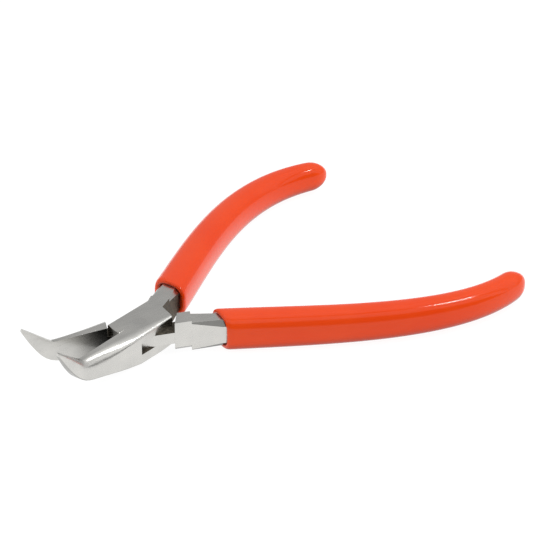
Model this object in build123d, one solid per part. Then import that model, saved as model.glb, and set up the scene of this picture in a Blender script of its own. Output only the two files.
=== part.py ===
"""Bent-nose box-joint pliers, 130 mm class, with dipped vinyl grips.

Two forged halves cross in a box joint: the tongue of one half passes through a window in the
other and turns on a pin that is ground flush with both cheeks. Millimetres. The origin is on
the pin's axis at the lower cheek's outer face, +Z points up along the pin, +X points from the
pin towards the handle ends and +Y towards the box half's handle. The rest pose is part open.
"""

import os
from math import cos, radians, sin

from build123d import *

# ---- joint -------------------------------------------------------------------------------
JOINT_THICKNESS = 8.2      # over both cheeks, along the pin
TONGUE_THICKNESS = 3.0
TONGUE_SLIP = 0.05         # gap between the tongue and each cheek
HALF_OPENING = 13.0        # degrees that each half stands off the closed position at rest
JOINT_HALF_WIDTH = 4.9     # from the pin's axis to the joint's outer faces
WINDOW_WALL = 5.0          # from the pin's axis to the end walls of the window
TONGUE_RADIUS = 4.2        # round part of the tongue about the pin
PIN_RADIUS = 1.75
PIN_SLIP = 0.04            # radial running clearance of the pin in the tongue
FACE_GAP = 0.05            # from the jaws' meeting plane to each gripping face
ARM_GAP = 0.1              # from the meeting plane to the tongue's two arms
JOINT_EDGE = 0.45          # round on the joint's long edges
SHOULDER_CHAMFER = 0.8     # under the tongue half's rear shoulder

# ---- jaws: side view of each edge from the joint to the tip, as (distance, height) -----------
JAW_TOP = [(-5.0, 8.2), (-22.8, 7.85), (-30.5, 13.25)]
JAW_TOP_BEND = 2.0         # radius of the bend along the top edge
JAW_REAR = 9.2             # where the near half of the joint begins, behind the pin
JAW_REAR_FLAT = 4.4        # width of the flat along the top, at the rear of the joint
JAW_REAR_SHOULDER = 0.04
JAW_BOTTOM = [(-5.0, 0.0), (-12.0, 0.95), (-19.0, 2.1), (-23.3, 3.05), (-27.4, 6.9),
              (-30.7, 12.3)]
JAW_ROOT_WIDTH = 4.85      # each jaw, from its gripping face to its outer side
JAW_TIP_WIDTH = 1.0
JAW_ROOT_FLAT = 2.2        # width of the flat along the top, at the front of the joint
JAW_BEND_FLAT = 0.9
JAW_TIP_FLAT = 0.5         # widest that flat may be, as a share of the jaw's width
JAW_BEND_SHARE = 0.66      # where the jaw turns upwards, as a share of its length
JAW_SHOULDERS = (0.16, 0.66)    # depth of the rounded shoulder over the jaw's, root and tip
JAW_LOWER_EDGE = 0.4       # round along the bottom of the outer side
JAW_STATIONS = 24

# ---- handles: control points of the centre line, closed position, box half's side ----------
HANDLE_START = (12.2, 3.55)
HANDLE_PULL_1 = (40.0, 13.4)
HANDLE_PULL_2 = (74.0, 32.3)
HANDLE_END = (97.4, 16.1)
SHANK_WIDTH = 5.0          # at the joint
SHANK_UNDERCUT = 0.6       # how far the shank's underside stands above the joint's
LIP_SHARE = 0.085          # where the steel enters the grip, as a share of the centre line
LIP_WIDTH = 5.9            # bare shank where it enters the grip
LIP_HEIGHT = 7.1
LIP_CHAMFER = 1.3
TANG_END_SHARE = 0.93      # where the steel stops inside the grip
TANG_END_WIDTH = 4.0
TANG_END_HEIGHT = 4.8
TANG_END_CHAMFER = 0.8

# ---- grips: dipped with the pliers closed, so both lips lie in one plane across the tool ------
GRIP_LIP = 18.8            # from the pin's axis to the lips
GRIP_LIP_SIZE = 9.4        # width and height at the lip
GRIP_END_WIDTH = 6.9
GRIP_END_HEIGHT = 7.6
GRIP_CORNER = 0.72         # corner radius as a share of half the grip's width
GRIP_END_DOME = 5.5        # length of the rounded end
GRIP_DOME_SHARE = 0.942    # where the rounding of the end begins
GRIP_STATIONS = 17

MID = JOINT_THICKNESS / 2
CHEEK = (JOINT_THICKNESS - TONGUE_THICKNESS) / 2
BOX_HALF, TONGUE_HALF = 1, -1      # the side of the meeting plane that each handle is on


def plate(points, low, high):
    """A flat piece of the given outline between two heights."""
    outline = Polyline(*points, close=True)
    return Pos(0, 0, low) * extrude(make_face(outline), high - low, dir=(0, 0, 1))


def jaw_section(high, low, width, flat, shoulder_share):
    """A cross-section of a jaw: flat gripping face, narrowing flat top, swelling outer side."""
    depth = (low - high).length
    down = (low - high) / depth
    shoulder = depth * shoulder_share

    def at(across, drop):
        return high + down * drop + Vector(0, -FACE_GAP - across, 0)

    pull = 0.55                # makes each rounded stretch close to a quarter ellipse
    lower_edge = min(JAW_LOWER_EDGE, 0.6 * (depth - shoulder))
    round_start = depth - lower_edge
    flat_end = width - lower_edge
    edges = [
        Line(at(0, 0), at(flat, 0)),
        Bezier(at(flat, 0), at(flat + pull * (width - flat), 0),
               at(width, shoulder * (1 - pull)), at(width, shoulder)),
        Line(at(width, shoulder), at(width, round_start)),
        Bezier(at(width, round_start), at(width, round_start + pull * lower_edge),
               at(flat_end + pull * lower_edge, depth), at(flat_end, depth)),
        Line(at(flat_end, depth), at(0, depth)),
        Line(at(0, depth), at(0, 0)),
    ]
    return make_face(Wire(edges))


def jaw(side):
    """Half the joint and the jaw of one half, to its bent, upturned tip."""
    top = FilletPolyline(*[(x, 0, z) for x, z in JAW_TOP], radius=JAW_TOP_BEND)
    bottom = Spline(*[(x, 0, z) for x, z in JAW_BOTTOM])
    root_shoulder, tip_shoulder = JAW_SHOULDERS
    sections = [jaw_section(Vector(JAW_REAR, 0, JOINT_THICKNESS), Vector(JAW_REAR, 0, 0),
                            JAW_ROOT_WIDTH, JAW_REAR_FLAT, JAW_REAR_SHOULDER)]
    for i in range(JAW_STATIONS):
        share = i / (JAW_STATIONS - 1)
        width = JAW_ROOT_WIDTH - (JAW_ROOT_WIDTH - JAW_TIP_WIDTH) * share ** 1.4
        to_bend = min(share / JAW_BEND_SHARE, 1)
        flat = JAW_BEND_FLAT + (JAW_ROOT_FLAT - JAW_BEND_FLAT) * (1 - to_bend) ** 1.5
        if share > JAW_BEND_SHARE:
            flat = min(flat, JAW_TIP_FLAT * width)
        ease = to_bend * to_bend * (3 - 2 * to_bend)
        shoulder = root_shoulder + (tip_shoulder - root_shoulder) * ease
        sections.append(jaw_section(top @ share, bottom @ share, width, flat, shoulder))
    solid = loft(sections, ruled=True)
    return solid if side == BOX_HALF else mirror(solid, about=Plane.XZ)


def handle_line(side):
    points = [HANDLE_START, HANDLE_PULL_1, HANDLE_PULL_2, HANDLE_END]
    return Bezier(*[(x, side * y, MID) for x, y in points])


def across_handle(line, share):
    """The plane across a handle, at a share of its length, with x lying flat."""
    tangent = line % share
    return Plane(origin=line @ share, x_dir=Vector(tangent.Y, -tangent.X, 0), z_dir=tangent)


def chamfered_bar(width, height, chamfer, lift=0):
    """An oblong with its corners cut off, raised above the handle's centre line by lift."""
    w, h, c = width / 2, height / 2, chamfer
    corners = [(w, h - c), (w - c, h), (c - w, h), (-w, h - c),
               (-w, c - h), (c - w, -h), (w - c, -h), (w, c - h)]
    return make_face(Polyline(*[(x, y + lift) for x, y in corners], close=True))


def shank(side):
    """The bare shank behind the joint and the tang that the grip covers."""
    line = handle_line(side)
    root = across_handle(line, 0) * chamfered_bar(
        SHANK_WIDTH, JOINT_THICKNESS - SHANK_UNDERCUT, 0.25, SHANK_UNDERCUT / 2)
    lip = across_handle(line, LIP_SHARE) * chamfered_bar(LIP_WIDTH, LIP_HEIGHT, LIP_CHAMFER)
    tang = [lip]
    stretches = 5
    for i in range(1, stretches + 1):
        run = i / stretches
        share = LIP_SHARE + (TANG_END_SHARE - LIP_SHARE) * run
        tang.append(across_handle(line, share) * chamfered_bar(
            LIP_WIDTH + (TANG_END_WIDTH - LIP_WIDTH) * run,
            LIP_HEIGHT + (TANG_END_HEIGHT - LIP_HEIGHT) * run,
            LIP_CHAMFER + (TANG_END_CHAMFER - LIP_CHAMFER) * run))
    return loft([root, lip], ruled=True) + loft(tang, ruled=True)


def grip(side):
    """Vinyl sleeve dipped over the tang: open at the lip, closed and rounded at the end."""
    line = handle_line(side)
    start = LIP_SHARE - 0.05       # clear of the lip, which is cut square to the tool below
    sections = []
    for i in range(GRIP_STATIONS):
        run = i / (GRIP_STATIONS - 1)
        taper = run ** 1.6
        width = GRIP_LIP_SIZE + (GRIP_END_WIDTH - GRIP_LIP_SIZE) * taper
        height = GRIP_LIP_SIZE + (GRIP_END_HEIGHT - GRIP_LIP_SIZE) * taper
        sections.append(across_handle(line, start + (GRIP_DOME_SHARE - start) * run)
                        * RectangleRounded(width, height, GRIP_CORNER * width / 2))
    end_plane = across_handle(line, GRIP_DOME_SHARE)
    for turn in (20, 35, 50, 65, 80):
        shrink = cos(radians(turn))
        sections.append(end_plane.offset(GRIP_END_DOME * sin(radians(turn))) * RectangleRounded(
            GRIP_END_WIDTH * shrink, GRIP_END_HEIGHT * shrink,
            GRIP_CORNER * GRIP_END_WIDTH * shrink / 2))
    bare = Pos(GRIP_LIP / 2, 0, MID) * Box(GRIP_LIP, 60, 30)
    return loft(sections, ruled=True) - bare - shank(side)


def pin_hole(radius):
    return Pos(0, 0, MID) * Cylinder(radius, 2 * JOINT_THICKNESS)


def open_by(solid, degrees):
    return Rot(0, 0, degrees) * solid


def rear_relief():
    """What is ground off under the rear of the joint, where both undersides slope up."""
    side_view = Polyline((0.5, -1), (0.5, 0), (7.0, SHANK_UNDERCUT), (14, SHANK_UNDERCUT),
                         (14, -1), close=True)
    return extrude(Plane.XZ * make_face(side_view), 20, both=True)


def root_corners(side):
    """Where the shank's first section meets the joint, in plan: inner corner, outer corner."""
    start = across_handle(handle_line(side), 0)
    inner = start.from_local_coords((side * SHANK_WIDTH / 2, 0, 0))
    outer = start.from_local_coords((-side * SHANK_WIDTH / 2, 0, 0))
    return (inner.X, inner.Y), (outer.X, outer.Y)


def box_half():
    """The half with the window: two cheeks joined by the jaw root and the shank root."""
    w, wall = JOINT_HALF_WIDTH, WINDOW_WALL
    inner, outer = root_corners(BOX_HALF)
    far_side = plate([(-6.1, w), (-7.3, 2.2), (-7.8, -FACE_GAP), (9.0, -FACE_GAP), inner,
                      outer, (9.0, w)], 0, JOINT_THICKNESS)
    far_edges = [e for e in far_side.edges().filter_by(Plane.XY) if e.center().Y > w - 0.01]
    far_side = fillet(far_edges, JOINT_EDGE)
    behind_cheeks = plate([(6.7, -9), (6.7, -w), (9.0, 0.35), (14, 0.35), (14, -9)],
                          -1, JOINT_THICKNESS + 1)
    window = plate([(-wall, -20), (20, -20), (20, FACE_GAP), (wall, FACE_GAP), (wall, 20),
                    (-20, 20), (-20, -FACE_GAP), (-wall, -FACE_GAP)],
                   CHEEK - TONGUE_SLIP, JOINT_THICKNESS - CHEEK + TONGUE_SLIP)
    joint = far_side + (jaw(BOX_HALF) - behind_cheeks)
    body = joint - rear_relief() - window + shank(BOX_HALF)
    return open_by(body - pin_hole(PIN_RADIUS), HALF_OPENING)


def tongue_half():
    """The half whose thin tongue passes through the window, with a shoulder at each end."""
    w = JOINT_HALF_WIDTH
    inner, outer = root_corners(TONGUE_HALF)
    tongue = Pos(0, 0, MID) * Cylinder(TONGUE_RADIUS, TONGUE_THICKNESS)
    tongue += plate([(0, ARM_GAP), (0.8, 4.12), (-2.6, 4.45), (-7.3, 4.2), (-8.6, ARM_GAP)],
                    CHEEK, JOINT_THICKNESS - CHEEK)
    tongue += plate([(0, -ARM_GAP), (-0.8, -4.12), (2.6, -4.45), (7.3, -w - 0.3),
                     (10.0, -0.6), (9.6, -ARM_GAP)], CHEEK, JOINT_THICKNESS - CHEEK)
    clear_of_cheeks = plate([(-6.4, 7), (-8.8, -1), (12, -1), (12, 7)], -1,
                            JOINT_THICKNESS + 1)
    shank_root = plate([(7.1, -w - 0.3), (9.8, -0.6), inner, outer],
                       SHANK_UNDERCUT, JOINT_THICKNESS)
    lower_edge = shank_root.edges().filter_by(Plane.XY).group_by(Axis.Z)[0].group_by(Axis.Y)[0]
    shank_root = chamfer(lower_edge, SHOULDER_CHAMFER)
    body = tongue + (jaw(TONGUE_HALF) - clear_of_cheeks) + shank_root + shank(TONGUE_HALF)
    return open_by(body - pin_hole(PIN_RADIUS + PIN_SLIP), -HALF_OPENING)


def pivot_pin():
    return Pos(0, 0, MID) * Cylinder(PIN_RADIUS, JOINT_THICKNESS)


os.makedirs("parts", exist_ok=True)
export_step(box_half(), "parts/box_half.step")
export_step(tongue_half(), "parts/tongue_half.step")
export_step(pivot_pin(), "parts/pivot_pin.step")
export_step(open_by(grip(BOX_HALF), HALF_OPENING), "parts/box_half_grip.step")
export_step(open_by(grip(TONGUE_HALF), -HALF_OPENING), "parts/tongue_half_grip.step")
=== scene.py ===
from math import cos, pi, radians, sin

import bmesh
import bpy
from mathutils import Matrix, Vector
from mathutils.geometry import interpolate_bezier


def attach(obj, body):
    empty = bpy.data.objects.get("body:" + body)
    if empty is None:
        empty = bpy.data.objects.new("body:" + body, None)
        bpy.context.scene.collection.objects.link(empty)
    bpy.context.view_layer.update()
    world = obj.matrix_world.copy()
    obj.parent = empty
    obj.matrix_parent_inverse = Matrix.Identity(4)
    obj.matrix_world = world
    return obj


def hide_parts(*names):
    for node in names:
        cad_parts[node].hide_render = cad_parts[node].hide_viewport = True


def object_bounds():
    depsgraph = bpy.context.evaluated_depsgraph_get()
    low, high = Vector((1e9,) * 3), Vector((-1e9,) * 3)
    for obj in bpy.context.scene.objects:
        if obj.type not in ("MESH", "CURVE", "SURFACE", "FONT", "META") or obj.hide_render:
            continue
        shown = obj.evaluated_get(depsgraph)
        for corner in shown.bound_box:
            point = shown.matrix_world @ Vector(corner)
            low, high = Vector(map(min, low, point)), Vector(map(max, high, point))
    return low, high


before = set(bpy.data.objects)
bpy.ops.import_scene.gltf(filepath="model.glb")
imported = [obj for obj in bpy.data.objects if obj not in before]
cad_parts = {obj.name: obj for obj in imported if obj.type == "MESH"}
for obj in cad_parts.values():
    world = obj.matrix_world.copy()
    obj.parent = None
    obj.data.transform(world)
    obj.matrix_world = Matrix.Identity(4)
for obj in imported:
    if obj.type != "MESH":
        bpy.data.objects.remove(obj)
cad_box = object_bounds()

# ---- Steel halves ------------------------------------------------------------------------------
# Two drop forgings of carbon steel, ground and buffed on every face that can be reached. The
# slots, the window and the insides of the shanks can't be reached, so they keep the dark, rough
# skin of the forge, whose near-black colour also stands as painted shade between the parts, as it
# does on the tongue half's shoulders that face the box. Undersides, the gripping faces near the
# joint and the shank chamfers are darkened as painted shade. The edges are broken by hand on a
# fine belt.
BUFFED = (0.64, 0.63, 0.60)
BUFFED_SHADE = (0.54, 0.535, 0.515)
FORGE_SKIN_AND_SHADE = (0.040, 0.035, 0.026)
FORGE_SKIN_WORN = (0.17, 0.145, 0.11)
# The shank chamfers get a darker copy of the buffed steel: painted shade.
CHAMFER_PAINTED_SHADE = 0.36
HALF_OPENING = radians(13)
EDGE_BREAK = 0.00016
SHARP_EDGE = radians(24)
CAD_MERGE = 1e-6
CAD_FLAT = radians(0.4)
JOINT_MIDDLE = 0.0041                  # height of the middle of the tongue
SLOT_HALF = 0.00162                    # half the height of the slot between the cheeks
SLOT_ENDS = (-0.0052, 0.0100)
JOINT_SIDE = 0.0045                    # past this from the pin, a side face is an outer one
CROTCH = (0.0080, 0.030)
REAR_SHOULDER = (0.0065, 0.0105)
FRONT_SHOULDER = (-0.0095, -0.0065)
SHANK_START = 0.0116
JAW_PAINTED_SHADE = (-0.022, -0.008)            # a gripping face gets painted shade between these
JAW_ROOT = (-0.0066, -0.0062)          # and the painted shade stops here


def nodes_of(name):
    """A new material, its node tree, and its main shader."""
    material = bpy.data.materials.new(name)
    material.use_nodes = True
    tree = material.node_tree
    return material, tree, tree.nodes["Principled BSDF"]


def object_noise(tree, scale, detail, stretch=(1, 1, 1), turn=0.0):
    """Noise on the piece's own coordinates, in metres, stretched along a grinding direction."""
    place = tree.nodes.new("ShaderNodeTexCoord")
    mapping = tree.nodes.new("ShaderNodeMapping")
    mapping.inputs["Rotation"].default_value = (0, 0, turn)
    mapping.inputs["Scale"].default_value = stretch
    noise = tree.nodes.new("ShaderNodeTexNoise")
    noise.inputs["Scale"].default_value = scale
    noise.inputs["Detail"].default_value = detail
    tree.links.new(place.outputs["Object"], mapping.inputs["Vector"])
    tree.links.new(mapping.outputs["Vector"], noise.inputs["Vector"])
    return noise.outputs["Fac"]


def spread(tree, value, low, high):
    """Maps 0.3 to 0.7, where noise mostly lies, on to a range."""
    limits = tree.nodes.new("ShaderNodeMapRange")
    limits.inputs["From Min"].default_value = 0.3
    limits.inputs["From Max"].default_value = 0.7
    limits.inputs["To Min"].default_value = low
    limits.inputs["To Max"].default_value = high
    tree.links.new(value, limits.inputs["Value"])
    return limits.outputs["Result"]


def blend_colours(tree, share, first, second):
    mix = tree.nodes.new("ShaderNodeMix")
    mix.data_type = "RGBA"
    mix.inputs["A"].default_value = (*first, 1)
    mix.inputs["B"].default_value = (*second, 1)
    tree.links.new(share, mix.inputs["Factor"])
    return mix.outputs["Result"]


def bump(tree, height, distance, strength, shader):
    node = tree.nodes.new("ShaderNodeBump")
    node.inputs["Distance"].default_value = distance
    node.inputs["Strength"].default_value = strength
    tree.links.new(height, node.inputs["Height"])
    tree.links.new(node.outputs["Normal"], shader.inputs["Normal"])


def ramp(tree, value, start, end, low, high):
    """Low up to start, high from end on, blended between."""
    limits = tree.nodes.new("ShaderNodeMapRange")
    limits.interpolation_type = "SMOOTHSTEP"
    limits.inputs["From Min"].default_value = start
    limits.inputs["From Max"].default_value = end
    limits.inputs["To Min"].default_value = low
    limits.inputs["To Max"].default_value = high
    tree.links.new(value, limits.inputs["Value"])
    return limits.outputs["Result"]


def along(tree, output, direction):
    """How far a piece's own coordinate or normal reaches in a direction."""
    place = tree.nodes.new("ShaderNodeTexCoord")
    product = tree.nodes.new("ShaderNodeVectorMath")
    product.operation = "DOT_PRODUCT"
    product.inputs[1].default_value = direction
    tree.links.new(place.outputs[output], product.inputs[0])
    return product.outputs["Value"]


def times(tree, first, second):
    node = tree.nodes.new("ShaderNodeMath")
    node.operation = "MULTIPLY"
    tree.links.new(first, node.inputs[0])
    tree.links.new(second, node.inputs[1])
    return node.outputs["Value"]


def shaded(tree, colour, share):
    """A colour darkened to a share of itself."""
    node = tree.nodes.new("ShaderNodeVectorMath")
    node.operation = "SCALE"
    tree.links.new(colour, node.inputs[0])
    tree.links.new(share, node.inputs["Scale"])
    return node.outputs["Vector"]


def painted_shade_share(tree, turn):
    """Painted shade: undersides are darkened, and the gripping faces darken towards the joint."""
    under = ramp(tree, along(tree, "Normal", (0, 0, -1)), 0.15, 0.6, 1.0, 0.5)
    side = 1 if turn > 0 else -1
    inward = (-sin(turn) * side, cos(turn) * side, 0)
    facing = ramp(tree, along(tree, "Normal", inward), 0.5, 0.8, 0.0, 1.0)
    forward = along(tree, "Object", (cos(turn), sin(turn), 0))
    depth = ramp(tree, forward, *JAW_PAINTED_SHADE, 0.05, 0.80)
    on_jaw = ramp(tree, forward, *JAW_ROOT, 1.0, 0.0)
    jaw_shade = times(tree, times(tree, facing, depth), on_jaw)
    return times(tree, under, ramp(tree, jaw_shade, 0.0, 1.0, 1.0, 0.16))


def buffed_steel(name, turn, tone_and_shade=1.0):
    """Satin steel: fine scratches along the tool, soft cloudy patches left by the buff, and
    painted shade on undersides and on gripping faces towards the joint. An optional factor
    darkens the whole colour; on the shank chamfers that darkening is painted shade.
    """
    material, tree, shader = nodes_of(name)
    shader.inputs["Metallic"].default_value = 1.0
    scratches = object_noise(tree, 900, 3, (0.12, 1, 1), -turn)
    clouds = object_noise(tree, 160, 4)
    tones = [[c * tone_and_shade for c in colour] for colour in (BUFFED_SHADE, BUFFED)]
    colour = blend_colours(tree, spread(tree, clouds, 0.25, 1.0), *tones)
    tree.links.new(shaded(tree, colour, painted_shade_share(tree, turn)), shader.inputs["Base Color"])
    tree.links.new(spread(tree, scratches, 0.20, 0.30), shader.inputs["Roughness"])
    bump(tree, scratches, 0.000004, 0.5, shader)
    return material


def forge_skin_and_shade(name):
    """Unground forging: nearly black scale with a coarse, pitted surface, also standing as
    painted shade in the slots and on the shoulders facing the box.
    """
    material, tree, shader = nodes_of(name)
    shader.inputs["Metallic"].default_value = 0.6
    pits = object_noise(tree, 1400, 6)
    colour = blend_colours(tree, spread(tree, pits, 0, 1), FORGE_SKIN_AND_SHADE, FORGE_SKIN_WORN)
    tree.links.new(colour, shader.inputs["Base Color"])
    tree.links.new(spread(tree, pits, 0.5, 0.8), shader.inputs["Roughness"])
    bump(tree, pits, 0.0001, 0.8, shader)
    return material


def squared_up(face, turn):
    """The middle and the normal of a face, with its half turned to the closed position."""
    square = Matrix.Rotation(-turn, 3, "Z")
    return square @ face.calc_center_median(), square @ face.normal


def in_slot(face, turn):
    """Whether a face of a half is out of the grinder's reach: inside the box or the crotch."""
    spot, normal = squared_up(face, turn)
    side = 1 if turn > 0 else -1
    outer_side = abs(spot.y) > JOINT_SIDE and abs(normal.y) > 0.8
    between_cheeks = (abs(spot.z - JOINT_MIDDLE) < SLOT_HALF and not outer_side
                      and SLOT_ENDS[0] < spot.x < SLOT_ENDS[1])
    crotch = (CROTCH[0] < spot.x < CROTCH[1] and normal.y * side < -0.5
              and abs(normal.z) < 0.6)
    return between_cheeks and (abs(normal.z) > 0.7 or side > 0) or crotch


def faces_the_box(face, turn):
    """Whether a face is one of the tongue half's two shoulders, which face the box."""
    spot, normal = squared_up(face, turn)
    rear = REAR_SHOULDER[0] < spot.x < REAR_SHOULDER[1] and normal.x < -0.6
    front = FRONT_SHOULDER[0] < spot.x < FRONT_SHOULDER[1] and normal.x > 0.6
    return turn < 0 and (rear or front)


def on_shank_chamfer(face, turn):
    """Whether a face is a hand-ground chamfer between the shoulder and the grip."""
    spot, normal = squared_up(face, turn)
    side = 1 if turn > 0 else -1
    return spot.x > SHANK_START and normal.y * side > 0.3 and 0.25 < abs(normal.z) < 0.93


def steel_half(node_name, body, turn):
    """A finished copy of one half: its triangles merged, its edges broken, its finishes sorted,
    with painted shade in the slots and on the chamfers.
    """
    mesh = bmesh.new()
    mesh.from_mesh(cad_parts[node_name].data)
    bmesh.ops.remove_doubles(mesh, verts=mesh.verts, dist=CAD_MERGE)
    bmesh.ops.dissolve_limit(mesh, angle_limit=CAD_FLAT, verts=mesh.verts, edges=mesh.edges)
    buffed, skin_with_shade, chamfer = range(3)
    for face in mesh.faces:
        face.smooth = True
        if on_shank_chamfer(face, turn):
            face.material_index = chamfer
        # Unground faces and the shoulders facing the box take the near-black skin, which is also
        # painted shade between the parts.
        elif in_slot(face, turn) or faces_the_box(face, turn):
            face.material_index = skin_with_shade
        else:
            face.material_index = buffed
    data = bpy.data.meshes.new(node_name + "_steel")
    mesh.to_mesh(data)
    mesh.free()
    piece = bpy.data.objects.new(node_name + "_steel", data)
    bpy.context.scene.collection.objects.link(piece)
    data.materials.append(buffed_steel(node_name + "_buffed", turn))
    data.materials.append(forge_skin_and_shade(node_name + "_forge_skin_and_shade"))
    # A darker copy of the buffed steel on the shank chamfers, as painted shade.
    data.materials.append(buffed_steel(node_name + "_chamfers_painted_shade", turn, CHAMFER_PAINTED_SHADE))
    edges = piece.modifiers.new("broken edges", "BEVEL")
    edges.width = EDGE_BREAK
    edges.segments = 2
    edges.limit_method = "ANGLE"
    edges.angle_limit = SHARP_EDGE
    edges.use_clamp_overlap = True
    shading = piece.modifiers.new("flat faces stay flat", "WEIGHTED_NORMAL")
    shading.mode = "FACE_AREA"
    shading.weight = 90
    shading.keep_sharp = True
    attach(piece, body)
    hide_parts(node_name)


steel_half("box_half", "box_side", HALF_OPENING)
steel_half("tongue_half", "tongue_side", -HALF_OPENING)

# ---- Pivot pin ---------------------------------------------------------------------------------
# A plain steel pin, pressed in both cheeks of the box half. Its ends are ground off with the
# cheeks, so only a faint ring shows.
PIN_TONE = 0.97
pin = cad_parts["pivot_pin"]
pin.data.materials.clear()
pin.data.materials.append(buffed_steel("pin_buffed", HALF_OPENING, PIN_TONE))

# ---- Grips -------------------------------------------------------------------------------------
# Each handle is dipped in liquid vinyl with the pliers shut. The vinyl sets in a thick glossy
# sleeve with a soft lip square to the tool, and a heavier rounded end where it dripped.
VINYL = (0.95, 0.076, 0.007)
VINYL_DEEP = (0.91, 0.060, 0.004)
CENTRE_LINE = [(0.0122, 0.00355), (0.0400, 0.0134), (0.0740, 0.0323), (0.0974, 0.0161)]
LIP_DISTANCE = 0.0188
LIP_SIZE = 0.00925
END_WIDTH = 0.0067
END_HEIGHT = 0.0076
DOME = 0.0055
DOME_SHARE = 0.942
GRIP_RINGS = 90
RING_POINTS = 40
LIP_SQUARENESS = 3.0       # 2 is an ellipse, more is squarer
END_SQUARENESS = 2.35
LIP_SHAPE = ((0.70, 0.0008), (0.76, 0.00025), (0.85, 0.0), (0.93, 0.00012),
             (0.975, 0.0004), (0.995, 0.0008))     # share of full size, distance behind the lip
LIP_ROUND = 0.0004
TAPER_POWER = 1.6


def vinyl_material():
    material, tree, shader = nodes_of("dipped_vinyl")
    swirls = object_noise(tree, 70, 3)
    colour = blend_colours(tree, spread(tree, swirls, 0, 1), VINYL_DEEP, VINYL)
    # Painted shade: the vinyl is darkened on faces turned downwards.
    under = ramp(tree, along(tree, "Normal", (0, 0, -1)), 0.0, 0.7, 1.0, 0.45)
    tree.links.new(shaded(tree, colour, under), shader.inputs["Base Color"])
    waves = object_noise(tree, 260, 2)
    tree.links.new(spread(tree, waves, 0.09, 0.13), shader.inputs["Roughness"])
    shader.inputs["Specular IOR Level"].default_value = 0.30
    bump(tree, waves, 0.00008, 0.25, shader)
    return material


def grip_ring(mesh, centre, along, width, height, squareness, slide):
    """One closed ring of a grip, squarish, each point slid along the handle by slide(point)."""
    across = Vector((along.y, -along.x, 0))
    ring = bmesh.ops.create_circle(mesh, cap_ends=False, radius=1, segments=RING_POINTS)["verts"]
    for vert in ring:
        x, y = vert.co.x, vert.co.y
        stretch = (abs(x) ** squareness + abs(y) ** squareness) ** (-1 / squareness)
        spot = centre + across * (x * stretch * width / 2)
        spot.z += y * stretch * height / 2
        vert.co = spot + along * slide(spot)
    return list({edge for vert in ring for edge in vert.link_edges})


def dipped_grip(node_name, body, side, material):
    turn = side * HALF_OPENING
    knots = [Vector((x, side * y, JOINT_MIDDLE)) for x, y in CENTRE_LINE]
    whole_line = interpolate_bezier(*knots, GRIP_RINGS)
    lengths = [0.0]
    for first, second in zip(whole_line, whole_line[1:]):
        lengths.append(lengths[-1] + (second - first).length)
    line = [spot for spot, length in zip(whole_line, lengths)
            if length <= DOME_SHARE * lengths[-1]]
    mesh = bmesh.new()
    lip_index = min(range(len(line)), key=lambda i: abs(line[i].x - LIP_DISTANCE))
    rings = []
    last = len(line) - 1
    run_length = last - lip_index
    # The lip: from the steel out to the full sleeve in a soft quarter round.
    lip_along = (line[lip_index + 1] - line[lip_index]).normalized()
    for shrink, back in LIP_SHAPE:
        def square_lip(spot, back=back):
            return (LIP_DISTANCE + back - spot.x) / lip_along.x
        rings.append(grip_ring(mesh, line[lip_index], lip_along, LIP_SIZE * shrink,
                               LIP_SIZE * shrink, LIP_SQUARENESS, square_lip))
    for i in range(lip_index + 1, last + 1):
        run = (i - lip_index) / run_length
        taper = run ** TAPER_POWER
        width = LIP_SIZE + (END_WIDTH - LIP_SIZE) * taper
        height = LIP_SIZE + (END_HEIGHT - LIP_SIZE) * taper
        heading = (line[min(i + 1, last)] - line[i - 1]).normalized()
        ease = max(0.0, 1 - run / 0.10)

        def square_near_lip(spot, i=i, heading=heading, ease=ease):
            return (line[i].x + LIP_ROUND * ease - spot.x) / heading.x * ease
        squareness = LIP_SQUARENESS + (END_SQUARENESS - LIP_SQUARENESS) * run
        rings.append(grip_ring(mesh, line[i], heading, width, height, squareness,
                               square_near_lip))
    # The rounded end.
    end_along = (line[last] - line[last - 1]).normalized()
    for degrees in range(8, 90, 8):
        ahead = DOME * sin(radians(degrees))
        shrink = cos(radians(degrees))
        rings.append(grip_ring(mesh, line[last] + end_along * ahead, end_along,
                               END_WIDTH * shrink, END_HEIGHT * shrink, END_SQUARENESS,
                               lambda spot: 0.0))
    for first, second in zip(rings, rings[1:]):
        bmesh.ops.bridge_loops(mesh, edges=first + second)
    bmesh.ops.contextual_create(mesh, geom=rings[-1])
    bmesh.ops.contextual_create(mesh, geom=rings[0])
    bmesh.ops.rotate(mesh, cent=(0, 0, 0), verts=mesh.verts, matrix=Matrix.Rotation(turn, 3, "Z"))
    bmesh.ops.recalc_face_normals(mesh, faces=mesh.faces)
    for face in mesh.faces:
        face.smooth = True
    data = bpy.data.meshes.new(node_name + "_vinyl")
    mesh.to_mesh(data)
    mesh.free()
    data.materials.append(material)
    piece = bpy.data.objects.new(node_name + "_vinyl", data)
    bpy.context.scene.collection.objects.link(piece)
    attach(piece, body)
    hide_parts(node_name)


vinyl = vinyl_material()
dipped_grip("box_half_grip", "box_side", 1, vinyl)
dipped_grip("tongue_half_grip", "tongue_side", -1, vinyl)

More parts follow.
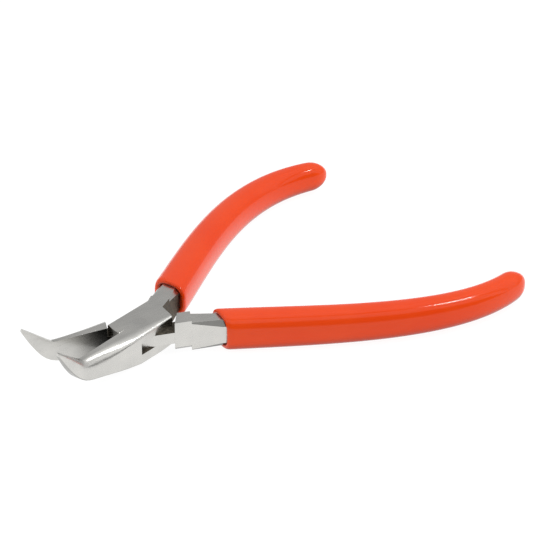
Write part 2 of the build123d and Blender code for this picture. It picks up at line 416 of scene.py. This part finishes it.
# ---- Stage -------------------------------------------------------------------------------------
# A glowing white sheet under the tool, and a tent of white panels and dark gaps round it, dim in
# front. A narrow strip lamp above the near grip draws one streak along the vinyl.
VIEW_HEADING = (0.6333, 0.7739)        # level direction from the camera to the tool
sheet_mesh = bpy.data.meshes.new("white_sheet")
sheet_shape = bmesh.new()
bmesh.ops.create_grid(sheet_shape, x_segments=1, y_segments=1, size=3.0)
bmesh.ops.translate(sheet_shape, verts=sheet_shape.verts, vec=(0, 0, cad_box[0][2]))
sheet_shape.to_mesh(sheet_mesh)
sheet_shape.free()
sheet = bpy.data.objects.new("white_sheet", sheet_mesh)
bpy.context.scene.collection.objects.link(sheet)
paper, paper_tree, paper_shader = nodes_of("white_paper")
paper_shader.inputs["Base Color"].default_value = (0.12, 0.12, 0.12, 1)
paper_shader.inputs["Roughness"].default_value = 0.9
paper_shader.inputs["Emission Color"].default_value = (1, 1, 1, 1)
paper_shader.inputs["Emission Strength"].default_value = 0.95
sheet_mesh.materials.append(paper)

tent = bpy.data.worlds.new("light_tent")
tent.use_nodes = True
tree = tent.node_tree
background = tree.nodes["Background"]
place = tree.nodes.new("ShaderNodeTexCoord")
split = tree.nodes.new("ShaderNodeSeparateXYZ")
tree.links.new(place.outputs["Generated"], split.inputs["Vector"])


def tent_maths(operation, first, second):
    node = tree.nodes.new("ShaderNodeMath")
    node.operation = operation
    for socket, value in zip(node.inputs, (first, second)):
        if isinstance(value, (int, float)):
            socket.default_value = value
        else:
            tree.links.new(value, socket)
    return node.outputs["Value"]


behind = tent_maths("ADD", tent_maths("MULTIPLY", split.outputs["X"], VIEW_HEADING[0]),
                    tent_maths("MULTIPLY", split.outputs["Y"], VIEW_HEADING[1]))
arch = tent_maths("DIVIDE", tent_maths("ARCTAN2", split.outputs["Z"], behind), pi)
panels = tree.nodes.new("ShaderNodeValToRGB")
tree.links.new(arch, panels.inputs["Fac"])
tree.links.new(panels.outputs["Color"], background.inputs["Color"])
# Height round the arch from the horizon behind the tool (0) to the one in front (180).
ARCH = [(0, 0.50), (32, 0.50), (44, 0.65), (56, 0.95), (80, 1.05), (84, 0.30), (89, 0.30),
        (93, 1.15), (122, 1.15), (136, 0.15), (170, 0.12), (180, 0.8)]
stops = panels.color_ramp.elements
while len(stops) < len(ARCH):
    stops.new(0.5)
for stop, (degrees, level) in zip(stops, ARCH):
    stop.position = degrees / 180
    stop.color = (level / 2, level / 2, level / 2, 1)
background.inputs["Strength"].default_value = 2.0
bpy.context.scene.world = tent

STRIP_SIZE = (0.12, 0.030)
STRIP_RADIANCE = 62
STRIP_TARGET = Vector((0.075, -0.030, 0.008))
STRIP_DISTANCE = 0.5
strip_data = bpy.data.lights.new("strip_lamp", "AREA")
strip_data.shape = "RECTANGLE"
strip_data.size, strip_data.size_y = STRIP_SIZE
strip_data.energy = STRIP_RADIANCE * pi * STRIP_SIZE[0] * STRIP_SIZE[1]
strip = bpy.data.objects.new("strip_lamp", strip_data)
strip_way = Vector((0.386, -0.240, 0.890)).normalized()
strip.location = STRIP_TARGET + strip_way * STRIP_DISTANCE
strip.rotation_euler = (-strip_way).to_track_quat("-Z", "X").to_euler()
bpy.context.scene.collection.objects.link(strip)
bpy.context.scene.view_settings.view_transform = "Standard"

# ---- Camera ------------------------------------------------------------------------------------
# A long lens a little under a metre away, in front of the near grip and looking down at the tool.
CAMERA_TARGET = Vector((0.05004, 0.00898, -0.0003))
CAMERA_DISTANCE = 0.8803
camera_data = bpy.data.cameras.new("camera")
camera_data.lens = 226.7
camera_data.sensor_width = 36.0
camera_data.clip_start = 0.01
camera_data.clip_end = 20.0
forward = Vector((0.5560, 0.6790, -0.4795)).normalized()
camera = bpy.data.objects.new("camera", camera_data)
camera.location = CAMERA_TARGET - forward * CAMERA_DISTANCE
camera.rotation_euler = forward.to_track_quat("-Z", "Y").to_euler()
bpy.context.scene.collection.objects.link(camera)
bpy.context.scene.camera = camera
